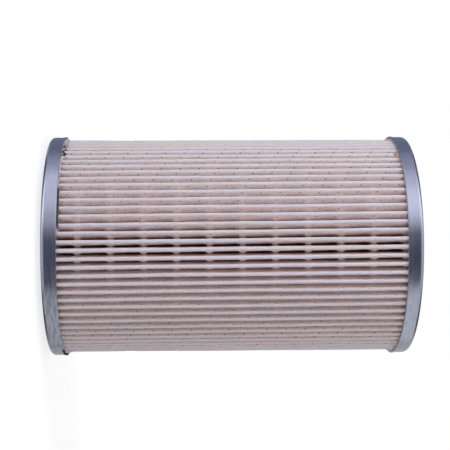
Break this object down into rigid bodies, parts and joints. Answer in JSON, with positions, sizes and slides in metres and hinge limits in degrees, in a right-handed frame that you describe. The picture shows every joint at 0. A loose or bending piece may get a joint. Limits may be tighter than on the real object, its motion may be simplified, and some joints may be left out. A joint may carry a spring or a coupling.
{
  "type": "pleated filter element",
  "caption": "Cylindrical oil filter element: pleated paper between two pressed steel end caps with open, gasketed bores and a perforated centre tube.",
  "frame": {"origin": "centre of the lower gasket's outer face, the element's lowest point", "axes": "+Z along the element's axis, from the lower end cap to the upper one; the side seam lies towards +Y"},
  "size_m": [0.1086, 0.1086, 0.18],
  "materials": {
    "filter_paper": "off-white resin-treated filter paper, embossed and pin-marked",
    "clip_steel": "bright strip, lightly stained",
    "tube_steel": "plain rolled steel",
    "zinc_plated_steel": "dull bluish zinc plating",
    "adhesive": "cured off-white adhesive",
    "gasket_rubber": "black nitrile rubber"
  },
  "bodies": {
    "root": {"pleated_paper": "filter_paper", "side_seam_clip": "clip_steel", "centre_tube": "tube_steel", "lower_end_cap": "zinc_plated_steel", "upper_end_cap": "zinc_plated_steel", "lower_potting": "adhesive", "upper_potting": "adhesive", "lower_gasket": "gasket_rubber", "upper_gasket": "gasket_rubber"}
  },
  "joints": []
}
